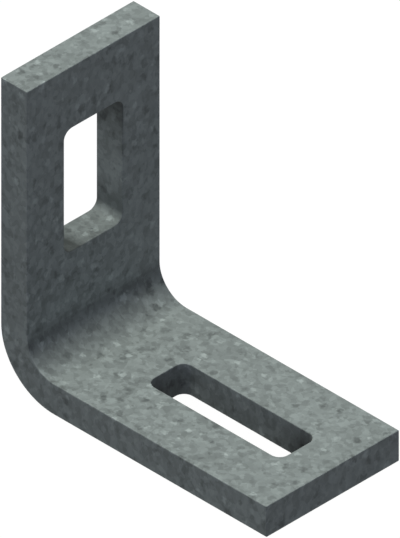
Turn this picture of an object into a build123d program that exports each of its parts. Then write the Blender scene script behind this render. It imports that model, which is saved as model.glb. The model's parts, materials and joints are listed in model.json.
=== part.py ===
from build123d import *
import os

# Strut angle fitting: one flat steel bar folded once to a right angle, with a
# slot through each leg. All sizes are in millimetres.
#
# The frame has +Z up and its origin in the middle of the part's footprint. The
# floor leg runs along +X from the heel to the toe, the upright stands at the
# heel, and the bar's width lies along Y.

# The bar. Both legs are measured over the outside of the fold.
FLOOR_LEG_LENGTH = 100.0
UPRIGHT_HEIGHT = 100.0
BAR_WIDTH = 50.0
BAR_THICKNESS = 10.0
INNER_BEND_RADIUS = 10.0

# The floor leg's slot takes a 12 mm bolt. Its centre is measured from the
# upright's outer face, and its length runs towards the toe.
FLOOR_SLOT_WIDTH = 14.0
FLOOR_SLOT_LENGTH = 50.0
FLOOR_SLOT_CENTRE = 62.0

# The upright's slot takes a 20 mm bolt. Its centre is measured from the
# underside, and its length runs upwards.
UPRIGHT_SLOT_WIDTH = 22.0
UPRIGHT_SLOT_LENGTH = 40.0
UPRIGHT_SLOT_CENTRE = 60.0

# Both slots are punched with the same corner radius.
SLOT_CORNER_RADIUS = 3.0

# Every sheared or punched edge is broken with this small round.
EDGE_BREAK = 0.3

# How far a slot's punch passes each face of the bar.
PUNCH_OVERRUN = 2.0

# The largest corner radius that a slot can take, as a share of its width.
FULL_ROUND_SHARE = 0.49

# The outside of the fold follows the inside at the bar's thickness.
OUTER_BEND_RADIUS = INNER_BEND_RADIUS + BAR_THICKNESS

# Places along X of the bar's faces.
HEEL_X = -FLOOR_LEG_LENGTH / 2
TOE_X = HEEL_X + FLOOR_LEG_LENGTH
UPRIGHT_INNER_X = HEEL_X + BAR_THICKNESS


def rounded_corner(section, corner, radius):
    """The section with its vertex at corner rounded to radius."""
    return fillet(section.vertices().sort_by_distance(corner)[0], radius)


def bend_section():
    """The bar's side view in the X-Z plane: an L that is rounded in and out at the fold."""
    outer_heel = (HEEL_X, 0)
    inner_heel = (UPRIGHT_INNER_X, BAR_THICKNESS)
    outline = Polyline(
        outer_heel,
        (TOE_X, 0),
        (TOE_X, BAR_THICKNESS),
        inner_heel,
        (UPRIGHT_INNER_X, UPRIGHT_HEIGHT),
        (HEEL_X, UPRIGHT_HEIGHT),
        close=True,
    )
    section = make_face(outline)
    section = rounded_corner(section, inner_heel, INNER_BEND_RADIUS)
    section = rounded_corner(section, outer_heel, OUTER_BEND_RADIUS)
    return Plane.XZ * section


def slot_punch(leg_middle, length, width):
    """A punch with rounded corners that passes through one leg.

    leg_middle is a plane halfway through the leg's thickness, centred on the
    slot, with its x direction along the slot's length.
    """
    corner = min(SLOT_CORNER_RADIUS, FULL_ROUND_SHARE * min(length, width))
    face = leg_middle * RectangleRounded(length, width, corner)
    return extrude(face, BAR_THICKNESS / 2 + PUNCH_OVERRUN, both=True)


def sharp_edges(solid):
    """Every edge but the straight seams where a rounded face runs into a flat one."""
    rounded_faces = solid.faces().filter_by(GeomType.CYLINDER)
    seams = rounded_faces.edges().filter_by(GeomType.LINE)
    return solid.edges().filter_by(lambda edge: edge not in seams)


def angle_bracket():
    """The folded bar with both slots punched and all its edges broken."""
    floor_leg_middle = Plane(
        origin=(HEEL_X + FLOOR_SLOT_CENTRE, 0, BAR_THICKNESS / 2),
        x_dir=(1, 0, 0),
        z_dir=(0, 0, 1),
    )
    upright_middle = Plane(
        origin=(HEEL_X + BAR_THICKNESS / 2, 0, UPRIGHT_SLOT_CENTRE),
        x_dir=(0, 0, 1),
        z_dir=(1, 0, 0),
    )
    bar = extrude(bend_section(), BAR_WIDTH / 2, both=True)
    bar -= slot_punch(floor_leg_middle, FLOOR_SLOT_LENGTH, FLOOR_SLOT_WIDTH)
    bar -= slot_punch(upright_middle, UPRIGHT_SLOT_LENGTH, UPRIGHT_SLOT_WIDTH)
    return fillet(sharp_edges(bar), EDGE_BREAK)


os.makedirs("parts", exist_ok=True)
export_step(angle_bracket(), "parts/angle_bracket.step")
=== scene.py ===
"""The looks of a strut angle fitting: one thick galvanised bar, folded once, on a pale floor.

Every length is in metres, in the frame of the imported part: +X from the heel to the toe, +Y across
the bar and +Z up. The bar is worked out flat, as (along, across, through), and then folded.
"""

import json
import logging
import math
from dataclasses import dataclass, field
from enum import Enum

import bmesh
import bpy
import numpy as np
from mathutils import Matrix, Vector

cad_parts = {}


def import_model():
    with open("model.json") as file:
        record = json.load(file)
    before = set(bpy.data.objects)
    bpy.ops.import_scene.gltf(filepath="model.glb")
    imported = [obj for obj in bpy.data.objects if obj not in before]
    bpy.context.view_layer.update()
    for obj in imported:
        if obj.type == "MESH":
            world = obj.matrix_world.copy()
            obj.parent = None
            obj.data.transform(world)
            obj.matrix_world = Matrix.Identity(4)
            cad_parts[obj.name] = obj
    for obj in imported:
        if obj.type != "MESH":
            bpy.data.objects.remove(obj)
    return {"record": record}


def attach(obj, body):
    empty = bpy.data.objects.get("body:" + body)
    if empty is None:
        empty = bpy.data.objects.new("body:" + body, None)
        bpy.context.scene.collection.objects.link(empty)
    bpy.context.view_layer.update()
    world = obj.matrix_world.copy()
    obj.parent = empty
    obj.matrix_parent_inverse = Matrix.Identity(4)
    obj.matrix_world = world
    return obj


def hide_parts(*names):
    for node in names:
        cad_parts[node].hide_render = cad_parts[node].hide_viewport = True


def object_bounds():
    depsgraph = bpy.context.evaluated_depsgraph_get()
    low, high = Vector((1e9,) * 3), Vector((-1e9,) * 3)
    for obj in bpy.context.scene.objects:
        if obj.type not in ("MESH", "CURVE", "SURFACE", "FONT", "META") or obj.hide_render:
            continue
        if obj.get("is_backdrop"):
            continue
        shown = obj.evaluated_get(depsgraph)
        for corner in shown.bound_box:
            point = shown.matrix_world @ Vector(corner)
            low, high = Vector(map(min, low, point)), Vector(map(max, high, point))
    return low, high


BRACKET = "angle_bracket"
STEEL = "galvanised_steel"
BODY = "root"
MM = 0.001
WELD_DIGITS = 7
MIDDLE = 0.5  # the mean of a shade or a noise that runs from 0 to 1

log = logging.getLogger("scene")


class Leg(Enum):
    """The bar's two legs, by the mount that marks each one's slot."""

    FLOOR = "floor_slot"
    UPRIGHT = "upright_slot"


class Ray(Enum):
    """The kinds of ray that see the plain white surroundings."""

    CAMERA = "Is Camera Ray"
    GLOSSY = "Is Glossy Ray"
    TRANSMISSION = "Is Transmission Ray"


class Amount:
    """A number that varies over a surface: one output socket, with operators that add Math nodes."""

    def __init__(self, graph: "Graph", socket: bpy.types.NodeSocket) -> None:
        """Wraps the socket.

        Args:
            graph: The node graph that the socket is in.
            socket: An output socket that carries one number.
        """
        self.graph = graph
        self.socket = socket

    def maths(self, operation: str, first: object, second: object = 0.0) -> "Amount":
        """Adds one Math node.

        Args:
            operation: The node's operation, such as ADD.
            first: An Amount or a plain number.
            second: An Amount or a plain number.

        Returns:
            The node's result.
        """
        node = self.graph.node("ShaderNodeMath", {"operation": operation}, {0: first, 1: second})
        return Amount(self.graph, node.outputs[0])

    def __add__(self, other: object) -> "Amount":
        """self + other."""
        return self.maths("ADD", self, other)

    def __radd__(self, other: object) -> "Amount":
        """other + self."""
        return self.maths("ADD", other, self)

    def __sub__(self, other: object) -> "Amount":
        """self - other."""
        return self.maths("SUBTRACT", self, other)

    def __rsub__(self, other: object) -> "Amount":
        """other - self."""
        return self.maths("SUBTRACT", other, self)

    def __mul__(self, other: object) -> "Amount":
        """self * other."""
        return self.maths("MULTIPLY", self, other)

    def __rmul__(self, other: object) -> "Amount":
        """other * self."""
        return self.maths("MULTIPLY", other, self)

    def __truediv__(self, other: object) -> "Amount":
        """self / other."""
        return self.maths("DIVIDE", self, other)

    def __rtruediv__(self, other: object) -> "Amount":
        """other / self."""
        return self.maths("DIVIDE", other, self)

    def __pow__(self, other: object) -> "Amount":
        """self to the power of other."""
        return self.maths("POWER", self, other)

    def __rpow__(self, other: object) -> "Amount":
        """other to the power of self."""
        return self.maths("POWER", other, self)

    def __neg__(self) -> "Amount":
        """self with its sign turned."""
        return self.maths("SUBTRACT", 0.0, self)

    def larger(self, other: object) -> "Amount":
        """The larger of self and other."""
        return self.maths("MAXIMUM", self, other)

    def size(self) -> "Amount":
        """self without its sign."""
        return self.maths("ABSOLUTE", self)

    def rise(self, start: float, end: float, low: float = 0.0, high: float = 1.0) -> "Amount":
        """A smooth step: low up to start, high from end on, and an S-curve between them.

        Args:
            start: Where the step begins.
            end: Where the step ends. It may be under start, for a step that falls.
            low: The value on start's side.
            high: The value on end's side.

        Returns:
            The stepped value.
        """
        node = self.graph.node(
            "ShaderNodeMapRange",
            {"interpolation_type": "SMOOTHSTEP"},
            {"Value": self, "From Min": start, "From Max": end, "To Min": low, "To Max": high},
        )
        return Amount(self.graph, node.outputs["Result"])


class Graph:
    """The node tree of one material or of the world, with the few ways this file adds nodes to it."""

    def __init__(self, tree: bpy.types.NodeTree) -> None:
        """Starts from an empty tree.

        Args:
            tree: The node tree to fill.
        """
        tree.nodes.clear()
        self.tree = tree

    def node(
        self, kind: str, settings: dict | None = None, inputs: dict | None = None
    ) -> bpy.types.Node:
        """Adds one node.

        Args:
            kind: The node's type, such as ShaderNodeTexNoise.
            settings: The node's own properties, which are set first.
            inputs: Socket names or numbers, each with an Amount, an output socket or a plain value.

        Returns:
            The node.
        """
        made = self.tree.nodes.new(kind)
        for name, value in (settings or {}).items():
            setattr(made, name, value)
        for name, value in (inputs or {}).items():
            source = value.socket if isinstance(value, Amount) else value
            if isinstance(source, bpy.types.NodeSocket):
                self.tree.links.new(source, made.inputs[name])
            else:
                made.inputs[name].default_value = source
        return made

    def amount(
        self, kind: str, output: str, settings: dict | None = None, inputs: dict | None = None
    ) -> Amount:
        """Adds one node and takes a number from it.

        Args:
            kind: The node's type.
            output: The name of the output to take.
            settings: The node's own properties.
            inputs: The node's inputs.

        Returns:
            The output as an Amount.
        """
        return Amount(self, self.node(kind, settings, inputs).outputs[output])

    def colour(self, share: object, first: object, second: object) -> bpy.types.NodeSocket:
        """Mixes two colours.

        Args:
            share: How much of the second colour is used, from 0 to 1.
            first: A colour or an output socket.
            second: A colour or an output socket.

        Returns:
            The mixed colour.
        """
        made = self.node("ShaderNodeMix", {"data_type": "RGBA"}, {0: share, 6: first, 7: second})
        return made.outputs[2]

    def vector(self, operation: str, *values: object) -> bpy.types.NodeSocket:
        """Adds one Vector Math node.

        Args:
            operation: The node's operation, such as ADD.
            values: Its inputs in order, each an output socket or a plain vector.

        Returns:
            The resulting vector.
        """
        made = self.node("ShaderNodeVectorMath", {"operation": operation}, dict(enumerate(values)))
        return made.outputs["Vector"]

    def brighter(self, tint: tuple[float, float, float], amount: Amount) -> bpy.types.NodeSocket:
        """A colour times a number.

        Args:
            tint: The colour.
            amount: What to multiply it by.

        Returns:
            The scaled colour.
        """
        made = self.node("ShaderNodeVectorMath", {"operation": "SCALE"}, {0: tint, "Scale": amount})
        return made.outputs["Vector"]


@dataclass(frozen=True)
class PaintedShade:
    """Painted shade that darkens a slot's walls towards one end or side of the slot.

    It starts and is full at shares of the slot's half size, and the darkening says by how much. The
    deep share is the part of it that shows only deep in the slot.
    """

    start: float
    full: float
    darkening: float
    deep_share: float = 0.0

    def shade(self, reach: Amount, half: float, depth: Amount) -> Amount:
        """The painted shade at each place.

        Args:
            reach: The place's distance from the slot's middle, towards this end or side.
            half: Half the slot's size that way.
            depth: How deep in the slot the place is, from 0 to 1.

        Returns:
            0 away from the end, and the darkening where it is full.
        """
        shown = 1.0 - self.deep_share + depth * self.deep_share
        return reach.rise(self.start * half, self.full * half, 0.0, self.darkening) * shown


@dataclass(frozen=True)
class SlotWallShade:
    """All the shade painted on one slot's walls.

    The whole wall is darker by one amount, or painted lighter where that is below 0, and darker by
    another one more where it is deep. The heel end is the one at the heel or the foot of the
    upright, and the near side is the one at -Y.
    """

    # painted shade over the whole wall; below 0 the wall is painted lighter
    wall: float
    deep: float
    heel_end: PaintedShade
    far_end: PaintedShade
    near_side: PaintedShade


@dataclass(frozen=True)
class Slot:
    """A slot with rounded corners through one leg, in the flat bar's (along, across) plane."""

    middle: float
    length: float
    width: float
    wall_shade: SlotWallShade
    corner: float = 0.003
    straight_share: float = 0.6

    def outside(self, along: Amount, across: Amount) -> Amount:
        """How far a place lies outside the slot's rim.

        With each distance from the middle cut down to its part past the start of the corner, it is
        the length of the two together, less the corner's radius.

        Args:
            along: The place's distance from the slot's middle, lengthwise.
            across: Its distance from the middle, crosswise.

        Returns:
            The distance, which is 0 on the slot's walls.
        """
        past_along = (along.size() - (self.length / 2 - self.corner)).larger(0.0)
        past_across = (across.size() - (self.width / 2 - self.corner)).larger(0.0)
        return (past_along**2.0 + past_across**2.0) ** 0.5 - self.corner

    def rim_side(
        self, share: np.ndarray, half_along: float, half_across: float
    ) -> tuple[np.ndarray, np.ndarray]:
        """One side of the slot's rim, from the middle of one corner to the middle of the next.

        Up to straight_share the point runs along the straight part. Past it, it turns through half
        of a corner: along = straight end + radius * sin(angle), across = centre + radius * cos(angle).

        Args:
            share: Places along the side, from -1 to 1.
            half_along: Half the slot's size along this side.
            half_across: Half its size at right angles to it.

        Returns:
            The distances from the slot's middle, along the side and at right angles to it.
        """
        straight = np.clip(np.abs(share) / self.straight_share, 0.0, 1.0)
        turned = np.clip((np.abs(share) - self.straight_share) / (1.0 - self.straight_share), 0.0, 1.0)
        angle = turned * math.pi / 4
        along = straight * (half_along - self.corner) + self.corner * np.sin(angle)
        across = half_across - self.corner + self.corner * np.cos(angle)
        return np.sign(share) * along, across


@dataclass
class FoldedBar:
    """The fitting itself: a flat bar with a slot in each leg, folded through a right angle.

    The bar is measured as along, from the toe round the fold to the top of the upright; across,
    from -width/2 to width/2; and through, from 0 on the outer skin to the thickness on the inner.
    """

    low: Vector
    high: Vector
    slots: dict[Leg, Slot]
    thickness: float = 0.010
    inner_bend: float = 0.010
    edge_break: float = 0.0003
    edge_steps: int = 3
    sharp_angle: float = 40.0
    long_steps: int = 40
    short_steps: int = 20
    ring_steps: int = 12
    fold_steps: int = 28
    wall_steps: int = 6
    parts: list[tuple[np.ndarray, bool]] = field(default_factory=list)

    @property
    def width(self) -> float:
        """The bar's width."""
        return self.high.y - self.low.y

    @property
    def outer_bend(self) -> float:
        """The radius of the fold's outer skin."""
        return self.inner_bend + self.thickness

    @property
    def floor_flat(self) -> float:
        """How much of the floor leg is flat, from the toe to the fold."""
        return self.high.x - self.low.x - self.outer_bend

    @property
    def upright_flat(self) -> float:
        """How much of the upright is flat, from the fold to its top."""
        return self.high.z - self.low.z - self.outer_bend

    @property
    def fold_length(self) -> float:
        """The length of the fold, halfway through the bar."""
        return (self.inner_bend + self.thickness / 2) * math.pi / 2

    @property
    def total(self) -> float:
        """The flat bar's length."""
        return self.floor_flat + self.fold_length + self.upright_flat

    def folded(self, flat: np.ndarray) -> np.ndarray:
        """Folds points of the flat bar.

        The floor leg runs back along X from the toe. In the fold a point turns about the fold's
        axis by along / fold_length of a right angle, at outer radius - through. The upright runs up.

        Args:
            flat: Points as (along, across, through), in an array that ends in 3.

        Returns:
            The same points as (x, y, z).
        """
        along, across, through = flat[..., 0], flat[..., 1], flat[..., 2]
        in_fold = np.clip(along - self.floor_flat, 0.0, self.fold_length)
        before = np.minimum(along - self.floor_flat, 0.0)
        after = np.maximum(along - self.floor_flat - self.fold_length, 0.0)
        angle = in_fold / self.fold_length * (math.pi / 2)
        radius = self.outer_bend - through
        x = self.low.x + self.outer_bend - radius * np.sin(angle) - before
        z = self.low.z + self.outer_bend - radius * np.cos(angle) + after
        return np.stack([x, across + (self.low.y + self.high.y) / 2, z], axis=-1)

    def slot_place(self, leg: Leg) -> Vector:
        """The middle of a leg's slot, halfway through the bar, as (x, y, z)."""
        flat = np.array([self.slots[leg].middle, 0.0, self.thickness / 2])
        return Vector(self.folded(flat).tolist())

    def slot_stretch(self, leg: Leg, share: float) -> tuple[float, float, float]:
        """Factors on (x, y, z) that draw a pattern out through the bar at a leg's slot."""
        return (1.0, 1.0, share) if leg is Leg.FLOOR else (share, 1.0, 1.0)

    def leg_span(self, leg: Leg) -> tuple[float, float]:
        """Where a leg's flat part lies in the flat bar.

        Args:
            leg: The leg.

        Returns:
            The along values where it starts and ends.
        """
        if leg is Leg.FLOOR:
            return 0.0, self.floor_flat
        return self.total - self.upright_flat, self.total

    def leg_loops(self, leg: Leg) -> tuple[np.ndarray, np.ndarray]:
        """The rim of a leg's slot and the border of the leg, as loops of matching points.

        Both loops run along the near side, up the far end, back along the far side and down the
        other end. On the border a point lies at middle + share * half size along each side.

        Args:
            leg: The leg.

        Returns:
            The rim and the border, each as rows of (along, across).
        """
        start, end = self.leg_span(leg)
        slot = self.slots[leg]
        half_long, half_wide = slot.length / 2, slot.width / 2
        half_leg, half_bar = (end - start) / 2, self.width / 2
        long_share = np.linspace(-1.0, 1.0, self.long_steps + 1)[:-1]
        short_share = np.linspace(-1.0, 1.0, self.short_steps + 1)[:-1]
        rim, border = [], []
        for sign in (1.0, -1.0):
            along, across = slot.rim_side(long_share, half_long, half_wide)
            rim.append(np.stack([slot.middle + sign * along, -sign * across], axis=-1))
            side = np.full_like(long_share, -sign * half_bar)
            border.append(np.stack([start + half_leg + sign * long_share * half_leg, side], axis=-1))
            along, across = slot.rim_side(short_share, half_wide, half_long)
            rim.append(np.stack([slot.middle + sign * across, sign * along], axis=-1))
            tip = np.full_like(short_share, end if sign > 0 else start)
            border.append(np.stack([tip, sign * short_share * half_bar], axis=-1))
        return np.concatenate(rim), np.concatenate(border)

    def add(
        self, along: np.ndarray, across: np.ndarray, through: np.ndarray, ring: bool = False
    ) -> None:
        """Keeps one patch of the bar's surface.

        Args:
            along: The patch's along values, as a grid or as something that broadcasts to one.
            across: Its across values.
            through: Its through values.
            ring: Whether the grid's second direction closes on itself.
        """
        flat = np.stack(np.broadcast_arrays(along, across, through), axis=-1)
        self.parts.append((self.folded(flat.astype(float)), ring))

    def skin(self, through: float) -> None:
        """Adds the outer or the inner skin.

        A leg's patch runs in straight lines from the slot's rim to the leg's border:
        point = rim + ring share * (border - rim). The fold's patch is a plain grid.

        Args:
            through: 0 for the outer skin, or the thickness for the inner.
        """
        share = np.linspace(0.0, 1.0, self.ring_steps + 1)[:, None]
        for leg in Leg:
            rim, border = self.leg_loops(leg)
            self.add(
                rim[:, 0] + share * (border[:, 0] - rim[:, 0]),
                rim[:, 1] + share * (border[:, 1] - rim[:, 1]),
                np.array(through),
                ring=True,
            )
        along = np.linspace(self.floor_flat, self.floor_flat + self.fold_length, self.fold_steps + 1)
        across = np.linspace(-self.width / 2, self.width / 2, self.short_steps + 1)
        self.add(along[:, None], across[None, :], np.array(through))

    def walls(self) -> None:
        """Adds the slots' linings and the bar's narrow sides and ends, each from skin to skin."""
        through = np.linspace(0.0, self.thickness, self.wall_steps + 1)[:, None]
        for leg in Leg:
            rim, _ = self.leg_loops(leg)
            self.add(rim[:, 0], rim[:, 1], through, ring=True)
        across = np.linspace(-self.width / 2, self.width / 2, self.short_steps + 1)
        for end in (0.0, self.total):
            self.add(np.array(end), across, through)
        fold = np.linspace(self.floor_flat, self.floor_flat + self.fold_length, self.fold_steps + 1)
        stretches = [np.linspace(*self.leg_span(leg), self.long_steps + 1) for leg in Leg]
        for side in (-self.width / 2, self.width / 2):
            for along in (*stretches, fold):
                self.add(along, np.array(side), through)

    def welded(self) -> tuple[np.ndarray, np.ndarray]:
        """Joins the patches into one closed surface.

        Returns:
            The points, and the four corners of each face as numbers of points.
        """
        points, faces, count = [], [], 0
        for grid, ring in self.parts:
            rows, columns = grid.shape[:2]
            number = count + np.arange(rows * columns).reshape(rows, columns)
            if ring:
                number = np.concatenate([number, number[:, :1]], axis=1)
            corners = (number[:-1, :-1], number[1:, :-1], number[1:, 1:], number[:-1, 1:])
            faces.append(np.stack([c.ravel() for c in corners], axis=-1))
            points.append(grid.reshape(-1, 3))
            count += rows * columns
        cloud = np.concatenate(points)
        rounded = np.round(cloud, WELD_DIGITS)
        _, first, same = np.unique(rounded, axis=0, return_index=True, return_inverse=True)
        return cloud[first], same.reshape(-1)[np.concatenate(faces)]

    def build(self) -> bpy.types.Object:
        """Makes the fitting's mesh, with its edges broken.

        Returns:
            The object, at the origin, with its place in its mesh.
        """
        self.skin(0.0)
        self.skin(self.thickness)
        self.walls()
        points, faces = self.welded()
        mesh = bpy.data.meshes.new("folded_bar")
        mesh.from_pydata(points.tolist(), [], faces.tolist())
        work = bmesh.new()
        work.from_mesh(mesh)
        bmesh.ops.recalc_face_normals(work, faces=work.faces)
        work.to_mesh(mesh)
        work.free()
        mesh.shade_smooth()
        bar = bpy.data.objects.new("folded_bar", mesh)
        bpy.context.scene.collection.objects.link(bar)
        edges = bar.modifiers.new("edge_break", "BEVEL")
        edges.width = self.edge_break
        edges.segments = self.edge_steps
        edges.limit_method = "ANGLE"
        edges.angle_limit = math.radians(self.sharp_angle)
        edges.harden_normals = True
        return bar

    def dress(self, bar: bpy.types.Object) -> None:
        """Gives the bar its zinc coat and its place on the part.

        Args:
            bar: The bar's object.
        """
        bar.data.materials.append(GalvanisedSteel(self).material())
        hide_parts(BRACKET)
        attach(bar, BODY)


@dataclass(frozen=True)
class Flecks:
    """One scatter of small flecks in the zinc coat.

    The spacing and the radius are in metres, and the strength is the change of shade in the middle
    of the strongest fleck. The shift moves the scatter, so that two of them fall on other places.
    """

    spacing: float
    radius: float
    strength: float
    shift: float


@dataclass(frozen=True)
class GalvanisedSteel:
    """A dull hot-dip zinc coat: soft grey flakes with darker and brighter flecks between them.

    The whole mottle is a little longer along Z, the way that the coat drained. Shade is painted
    into the colour in the hollow of the fold and on the slots' punched walls, with some painted
    light on the upright slot's walls.

    Where a place in the fold is given, it is a share of the inner bend's radius, from the fold's
    axis. The depth in a slot is given as shares of the bar's thickness, from the slot's middle.
    """

    bar: FoldedBar
    tint: tuple[float, float, float] = (0.2337, 0.2693, 0.2574)
    metallic: float = 0.05
    specular: float = 0.08
    roughness: float = 0.62
    coarse_flake: float = 0.0024
    fine_flake: float = 0.0014
    grain_size: float = 0.0006
    coarse_contrast: float = 0.24
    fine_contrast: float = 0.34
    grain_contrast: float = 0.06
    flake_stretch: float = 1.24
    flake_softness: float = 0.12
    flake_raggedness: float = 0.5
    flake_sheen: float = 0.12
    grain_layers: float = 2.0
    outline_layers: float = 1.0
    dark_flecks: Flecks = Flecks(spacing=0.0044, radius=0.0015, strength=0.39, shift=0.613)
    bright_flecks: Flecks = Flecks(spacing=0.0045, radius=0.0012, strength=0.57, shift=2.3)
    fleck_fade: float = 1.1
    fleck_core: float = 0.45
    faintest_fleck: float = 0.3
    # painted shade: darkening in the hollow of the fold and in its crease
    fold_painted_shade: float = 0.18
    fold_shade_reach: float = 0.7
    fold_skin: float = 0.01
    crease_painted_shade: float = 0.22
    crease_top: tuple[float, float] = (-0.03, -0.13)
    crease_foot: tuple[float, float] = (-0.45, -0.2)
    depth_start: float = 0.6
    depth_full: float = -0.15
    streak_width: float = 0.0016
    streak_stretch: float = 0.12
    streak_contrast: float = 0.30
    bump_strength: float = 0.5
    bump_height: float = 0.00002
    flake_relief: float = 0.5

    def material(self) -> bpy.types.Material:
        """Builds the zinc coat's material.

        Returns:
            The material, on Object coordinates.
        """
        made = bpy.data.materials.new(STEEL)
        made.use_nodes = True
        graph = Graph(made.node_tree)
        place = graph.node("ShaderNodeTexCoord").outputs["Object"]
        drawn = self.drawn_up(graph, place)
        flakes = self.flakes(graph, drawn, self.fine_flake)
        grain = self.noise(graph, drawn, self.grain_size)
        mottle = self.mottle(graph, drawn, flakes, grain)
        # the fold's and the walls' factors are painted shade, with some painted light on the upright
        # slot's walls
        tone = mottle * self.fold(graph, place) * self.walls(graph, place)
        bump = graph.node(
            "ShaderNodeBump",
            inputs={
                "Strength": self.bump_strength,
                "Distance": self.bump_height,
                "Height": flakes * self.flake_relief + grain,
            },
        )
        coat = graph.node(
            "ShaderNodeBsdfPrincipled",
            inputs={
                "Base Color": graph.brighter(self.tint, tone),
                "Metallic": self.metallic,
                "Specular IOR Level": self.specular,
                "Roughness": self.roughness + (flakes - MIDDLE) * self.flake_sheen,
                "Normal": bump.outputs["Normal"],
            },
        )
        graph.node("ShaderNodeOutputMaterial", inputs={"Surface": coat.outputs["BSDF"]})
        return made

    def drawn_up(self, graph: Graph, place: object) -> bpy.types.NodeSocket:
        """Positions squeezed along Z, so that a pattern read there is drawn out up the upright.

        z becomes level + (z - level) / flake_stretch, where the level is the floor leg's upper face.

        Args:
            graph: The material's graph.
            place: The position to read.

        Returns:
            The squeezed positions.
        """
        squeeze = 1.0 / self.flake_stretch
        level = self.bar.low.z + self.bar.thickness
        stay = (0.0, 0.0, level * (1.0 - squeeze))
        return graph.vector("MULTIPLY_ADD", place, (1.0, 1.0, squeeze), stay)

    def noise(self, graph: Graph, place: object, size: float) -> Amount:
        """Cloudy noise from 0 to 1.

        Args:
            graph: The material's graph.
            place: The position to read.
            size: The size of one cloud, in metres.

        Returns:
            The noise.
        """
        inputs = {"Vector": place, "Scale": 1.0 / size, "Detail": self.grain_layers}
        return graph.amount("ShaderNodeTexNoise", "Fac", inputs=inputs)

    def ragged(self, graph: Graph, place: object, size: float, reach: float) -> bpy.types.NodeSocket:
        """Positions pushed about by noise, so that outlines read there come out ragged.

        Args:
            graph: The material's graph.
            place: The position to read.
            size: The size of one wave of the push, in metres.
            reach: How far a position may be pushed, in metres.

        Returns:
            The pushed positions.
        """
        inputs = {"Vector": place, "Scale": 1.0 / size, "Detail": self.outline_layers}
        push = graph.node("ShaderNodeTexNoise", inputs=inputs).outputs["Color"]
        return graph.vector("MULTIPLY_ADD", push, (2.0 * reach,) * 3, place)

    def flakes(self, graph: Graph, place: object, size: float) -> Amount:
        """One random shade for each zinc flake.

        Args:
            graph: The material's graph.
            place: The position to read.
            size: The size of one flake, in metres.

        Returns:
            A shade from 0 to 1.
        """
        cells = graph.node(
            "ShaderNodeTexVoronoi",
            {"feature": "SMOOTH_F1"},
            {
                "Vector": self.ragged(graph, place, size, size * self.flake_raggedness),
                "Scale": 1.0 / size,
                "Smoothness": self.flake_softness,
            },
        )
        return graph.amount("ShaderNodeSeparateColor", "Red", inputs={"Color": cells.outputs["Color"]})

    def scattered(self, graph: Graph, place: object, flecks: Flecks) -> Amount:
        """Small ragged flecks, each with a strength of its own.

        A fleck is full up to fleck_core times its radius and gone from fleck_fade times it.

        Args:
            graph: The material's graph.
            place: The position to read.
            flecks: The scatter to draw.

        Returns:
            The scatter's strength in the middle of a strong fleck, and 0 away from the flecks.
        """
        shifted = graph.vector("ADD", place, (flecks.shift,) * 3)
        cells = graph.node(
            "ShaderNodeTexVoronoi",
            inputs={
                "Vector": self.ragged(graph, shifted, flecks.radius, flecks.radius),
                "Scale": 1.0 / flecks.spacing,
            },
        )
        reach = flecks.radius / flecks.spacing
        distance = Amount(graph, cells.outputs["Distance"])
        shape = distance.rise(reach * self.fleck_fade, reach * self.fleck_core)
        shade = graph.amount("ShaderNodeSeparateColor", "Red", inputs={"Color": cells.outputs["Color"]})
        return shape * shade.rise(0.0, 1.0, self.faintest_fleck) * flecks.strength

    def mottle(self, graph: Graph, place: object, flakes: Amount, grain: Amount) -> Amount:
        """How light the open coat is at each place, around 1.

        Args:
            graph: The material's graph.
            place: The position to read.
            flakes: The shade of each fine flake.
            grain: The fine noise.

        Returns:
            The factor on the coat's tint.
        """
        tone = (
            1.0
            + (self.flakes(graph, place, self.coarse_flake) - MIDDLE) * self.coarse_contrast
            + (flakes - MIDDLE) * self.fine_contrast
            + (grain - MIDDLE) * self.grain_contrast
        )
        dark = self.scattered(graph, place, self.dark_flecks)
        bright = self.scattered(graph, place, self.bright_flecks)
        return tone * (1.0 - dark) + bright

    def fold(self, graph: Graph, place: object) -> Amount:
        """Painted shade in the hollow of the fold, and a darker band of painted shade in the crease
        where the upright starts.

        Places are measured from the fold's axis, as shares of the inner bend's radius.

        Args:
            graph: The material's graph.
            place: The position to read.

        Returns:
            The factor on the coat's tint.
        """
        axes = graph.node("ShaderNodeSeparateXYZ", inputs={"Vector": place})
        axis_x = self.bar.low.x + self.bar.outer_bend
        axis_z = self.bar.low.z + self.bar.outer_bend
        inner = self.bar.inner_bend
        x = (Amount(graph, axes.outputs["X"]) - axis_x) / inner
        z = (Amount(graph, axes.outputs["Z"]) - axis_z) / inner
        hollow = ((x**2.0 + z**2.0) ** 0.5).rise(1.0 + self.fold_skin, 1.0)
        # painted shade: the hollow darkens towards the upright, and a darker band lies in the crease
        darkening = x.rise(0.0, -self.fold_shade_reach, 0.0, self.fold_painted_shade)
        crease_shade = z.rise(*self.crease_top) * z.rise(*self.crease_foot, 0.0, self.crease_painted_shade)
        return (1.0 - hollow * darkening) * (1.0 - hollow * crease_shade)

    def walls(self, graph: Graph, place: object) -> Amount:
        """The shade painted on the walls of both slots, as the product of the two.

        Args:
            graph: The material's graph.
            place: The position to read.

        Returns:
            The factor on the coat's tint.
        """
        floor = self.painted_slot_wall_shade(graph, place, Leg.FLOOR)
        upright = self.painted_slot_wall_shade(graph, place, Leg.UPRIGHT)
        return floor * upright

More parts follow.
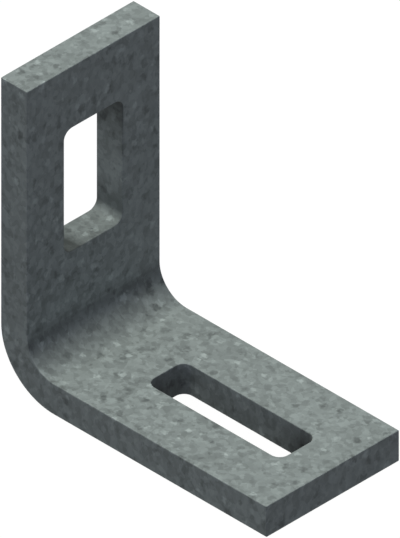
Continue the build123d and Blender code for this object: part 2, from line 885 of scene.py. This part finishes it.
    def painted_slot_wall_shade(self, graph: Graph, place: object, leg: Leg) -> Amount:
        """Shade and some light painted on one slot's punched walls, with random streaks, darker near
        its ends.

        Args:
            graph: The material's graph.
            place: The position to read.
            leg: The slot's leg.

        Returns:
            The factor on the coat's tint, which is 1 off the walls.
        """
        slot, thickness = self.bar.slots[leg], self.bar.thickness
        wall_shade = slot.wall_shade
        offset = graph.vector("SUBTRACT", place, tuple(self.bar.slot_place(leg)))
        axes = graph.node("ShaderNodeSeparateXYZ", inputs={"Vector": offset})
        along = Amount(graph, axes.outputs["X" if leg is Leg.FLOOR else "Z"])
        across = Amount(graph, axes.outputs["Y"])
        height = Amount(graph, axes.outputs["Z" if leg is Leg.FLOOR else "X"])
        depth = height.rise(self.depth_start * thickness, self.depth_full * thickness)
        inside = slot.outside(along, across).rise(self.bar.edge_break, 0.0)
        # painted shade: darker towards the slot's ends and its near side
        ends = (
            wall_shade.heel_end.shade(-along, slot.length / 2, depth)
            + wall_shade.far_end.shade(along, slot.length / 2, depth)
            + wall_shade.near_side.shade(-across, slot.width / 2, depth)
        )
        drawn = graph.vector("MULTIPLY", place, self.bar.slot_stretch(leg, self.streak_stretch))
        streaks = (self.noise(graph, drawn, self.streak_width) - MIDDLE) * self.streak_contrast
        # painted shade on the walls, and painted light where the sum falls below 0
        return 1.0 - inside * (wall_shade.wall + depth * wall_shade.deep + ends + streaks)


@dataclass(frozen=True)
class Lamp:
    """A distant soft lamp without a shadow of its own, by the direction that it stands in."""

    name: str
    direction: tuple[float, float, float]
    strength: float
    colour: tuple[float, float, float]
    spread: float = 20.0

    def hang(self) -> None:
        """Makes the lamp."""
        lamp = bpy.data.lights.new(self.name, "SUN")
        lamp.energy = self.strength
        lamp.color = self.colour
        lamp.angle = math.radians(self.spread)
        lamp.use_shadow = False
        hung = bpy.data.objects.new(self.name, lamp)
        hung.rotation_mode = "QUATERNION"
        hung.rotation_quaternion = Vector(self.direction).to_track_quat("Z", "Y")
        bpy.context.scene.collection.objects.link(hung)


@dataclass
class Studio:
    """The pale floor, the soft light and the camera."""

    low: Vector
    high: Vector
    azimuth: float = 45.0
    elevation: float = math.degrees(math.asin(math.tan(math.radians(30))))
    view_height: float = 0.1431
    camera_distance: float = 0.6
    floor_half: float = 3.0
    floor_glow: float = 0.67
    floor_white: float = 0.37
    floor_albedo: float = 0.16
    lamps: tuple[Lamp, ...] = (
        Lamp("key", direction=(-0.42, -0.07, 0.906), strength=2.57, colour=(1.0, 1.0, 0.94)),
        Lamp("fill", direction=(0.54, -0.6, 0.59), strength=0.35, colour=(0.8, 0.8, 1.0)),
    )
    sky: tuple[float, float, float] = (0.167, 0.167, 0.208)

    def grey(self, level: float) -> tuple[float, float, float, float]:
        """An opaque grey of one level."""
        return level, level, level, 1.0

    def seen_plainly(self, graph: Graph) -> Amount:
        """Tells the rays that see the white surroundings from those that light the part.

        Args:
            graph: The graph of the floor or of the sky.

        Returns:
            1 for a ray that sees them, and 0 for one that lights the part.
        """
        paths = graph.node("ShaderNodeLightPath")
        camera, glossy, through = (Amount(graph, paths.outputs[ray.value]) for ray in Ray)
        return camera.larger(glossy).larger(through)

    def floor(self) -> None:
        """Makes the floor, which is white to the eye and keeps the part's soft shadow."""
        half = self.floor_half
        turns = ((-half, -half), (half, -half), (half, half), (-half, half))
        corners = [(x, y, self.low.z) for x, y in turns]
        mesh = bpy.data.meshes.new("floor")
        mesh.from_pydata(corners, [], [(0, 1, 2, 3)])
        floor = bpy.data.objects.new("floor", mesh)
        bpy.context.scene.collection.objects.link(floor)
        finish = bpy.data.materials.new("pale_floor")
        finish.use_nodes = True
        graph = Graph(finish.node_tree)
        seen = self.seen_plainly(graph)
        paint = graph.node("ShaderNodeBsdfDiffuse", inputs={"Color": self.grey(self.floor_white)})
        glow = graph.node("ShaderNodeEmission", inputs={"Strength": self.floor_glow})
        shown = graph.node("ShaderNodeAddShader", inputs={0: paint.outputs[0], 1: glow.outputs[0]})
        real = graph.node("ShaderNodeBsdfDiffuse", inputs={"Color": self.grey(self.floor_albedo)})
        parts = {0: seen, 1: real.outputs[0], 2: shown.outputs[0]}
        both = graph.node("ShaderNodeMixShader", inputs=parts)
        graph.node("ShaderNodeOutputMaterial", inputs={"Surface": both.outputs[0]})
        floor.data.materials.append(finish)
        floor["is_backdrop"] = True

    def light(self) -> None:
        """Makes the high key lamp, the fill lamp beside the camera and the dim sky."""
        for lamp in self.lamps:
            lamp.hang()
        world = bpy.data.worlds.new("studio")
        world.use_nodes = True
        bpy.context.scene.world = world
        graph = Graph(world.node_tree)
        shade = graph.colour(self.seen_plainly(graph), (*self.sky, 1.0), self.grey(1.0))
        sky = graph.node("ShaderNodeBackground", inputs={"Color": shade})
        graph.node("ShaderNodeOutputWorld", inputs={"Surface": sky.outputs[0]})

    def camera(self) -> None:
        """Makes the camera: no perspective, and equal angles to all three axes."""
        turn, tilt = math.radians(self.azimuth), math.radians(self.elevation)
        level = math.cos(tilt)
        back = Vector((math.sin(turn) * level, -math.cos(turn) * level, math.sin(tilt)))
        lens = bpy.data.cameras.new("camera")
        lens.type = "ORTHO"
        lens.ortho_scale = self.view_height
        eye = bpy.data.objects.new("camera", lens)
        eye.location = (self.low + self.high) / 2 + back * self.camera_distance
        eye.rotation_mode = "QUATERNION"
        eye.rotation_quaternion = back.to_track_quat("Z", "Y")
        bpy.context.scene.collection.objects.link(eye)
        bpy.context.scene.camera = eye

    def build(self) -> None:
        """Makes the floor, the light and the camera, and shows colours as they are written."""
        bpy.context.scene.view_settings.view_transform = "Standard"
        self.floor()
        self.light()
        self.camera()


# painted shade on the slots' walls: darker towards their ends, near side and depth; a wall below 0 is
# painted lighter
SLOT_WALL_SHADE = {
    Leg.FLOOR: SlotWallShade(
        wall=-0.02,
        deep=0.18,
        heel_end=PaintedShade(start=0.88, full=1.0, darkening=0.33, deep_share=0.75),
        far_end=PaintedShade(start=0.40, full=0.95, darkening=0.72, deep_share=0.42),
        near_side=PaintedShade(start=-0.3, full=0.45, darkening=0.22),
    ),
    Leg.UPRIGHT: SlotWallShade(
        wall=-0.12,
        deep=0.0,
        heel_end=PaintedShade(start=0.33, full=0.82, darkening=0.39),
        far_end=PaintedShade(start=-0.08, full=1.0, darkening=0.75),
        near_side=PaintedShade(start=0.08, full=0.62, darkening=0.46),
    ),
}


def slots_from(record: dict, low: Vector, high: Vector) -> dict[Leg, Slot]:
    """Reads the two slots from the record's mounts.

    The record gives half of a slot's width as hole_r_mm.

    Args:
        record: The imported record.
        low: The part's lowest corner.
        high: Its highest corner.

    Returns:
        Each leg's slot, with its middle measured along the flat bar.
    """
    mounts = {m["name"]: m for m in record["mounts"]}
    without_slots = FoldedBar(low, high, {})
    middles = {
        Leg.FLOOR: high.x - mounts[Leg.FLOOR.value]["pos_m"][0],
        Leg.UPRIGHT: without_slots.total - (high.z - mounts[Leg.UPRIGHT.value]["pos_m"][2]),
    }
    slots = {}
    for leg in Leg:
        dims = mounts[leg.value]["dims"]
        slots[leg] = Slot(
            middle=middles[leg],
            length=dims["slot_length_mm"] * MM,
            width=2 * dims["hole_r_mm"] * MM,
            wall_shade=SLOT_WALL_SHADE[leg],
        )
    return slots


def main() -> None:
    logging.basicConfig(level=logging.INFO, format="%(message)s")
    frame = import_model()
    low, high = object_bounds()
    bar = FoldedBar(low, high, slots_from(frame["record"], low, high))
    piece = bar.build()
    bar.dress(piece)
    log.info("folded bar: %d faces", len(piece.data.polygons))
    studio = Studio(low, high)
    studio.build()
    log.info("studio: floor, %d lamps, sky and camera", len(studio.lamps))


if __name__ == "__main__":
    main()
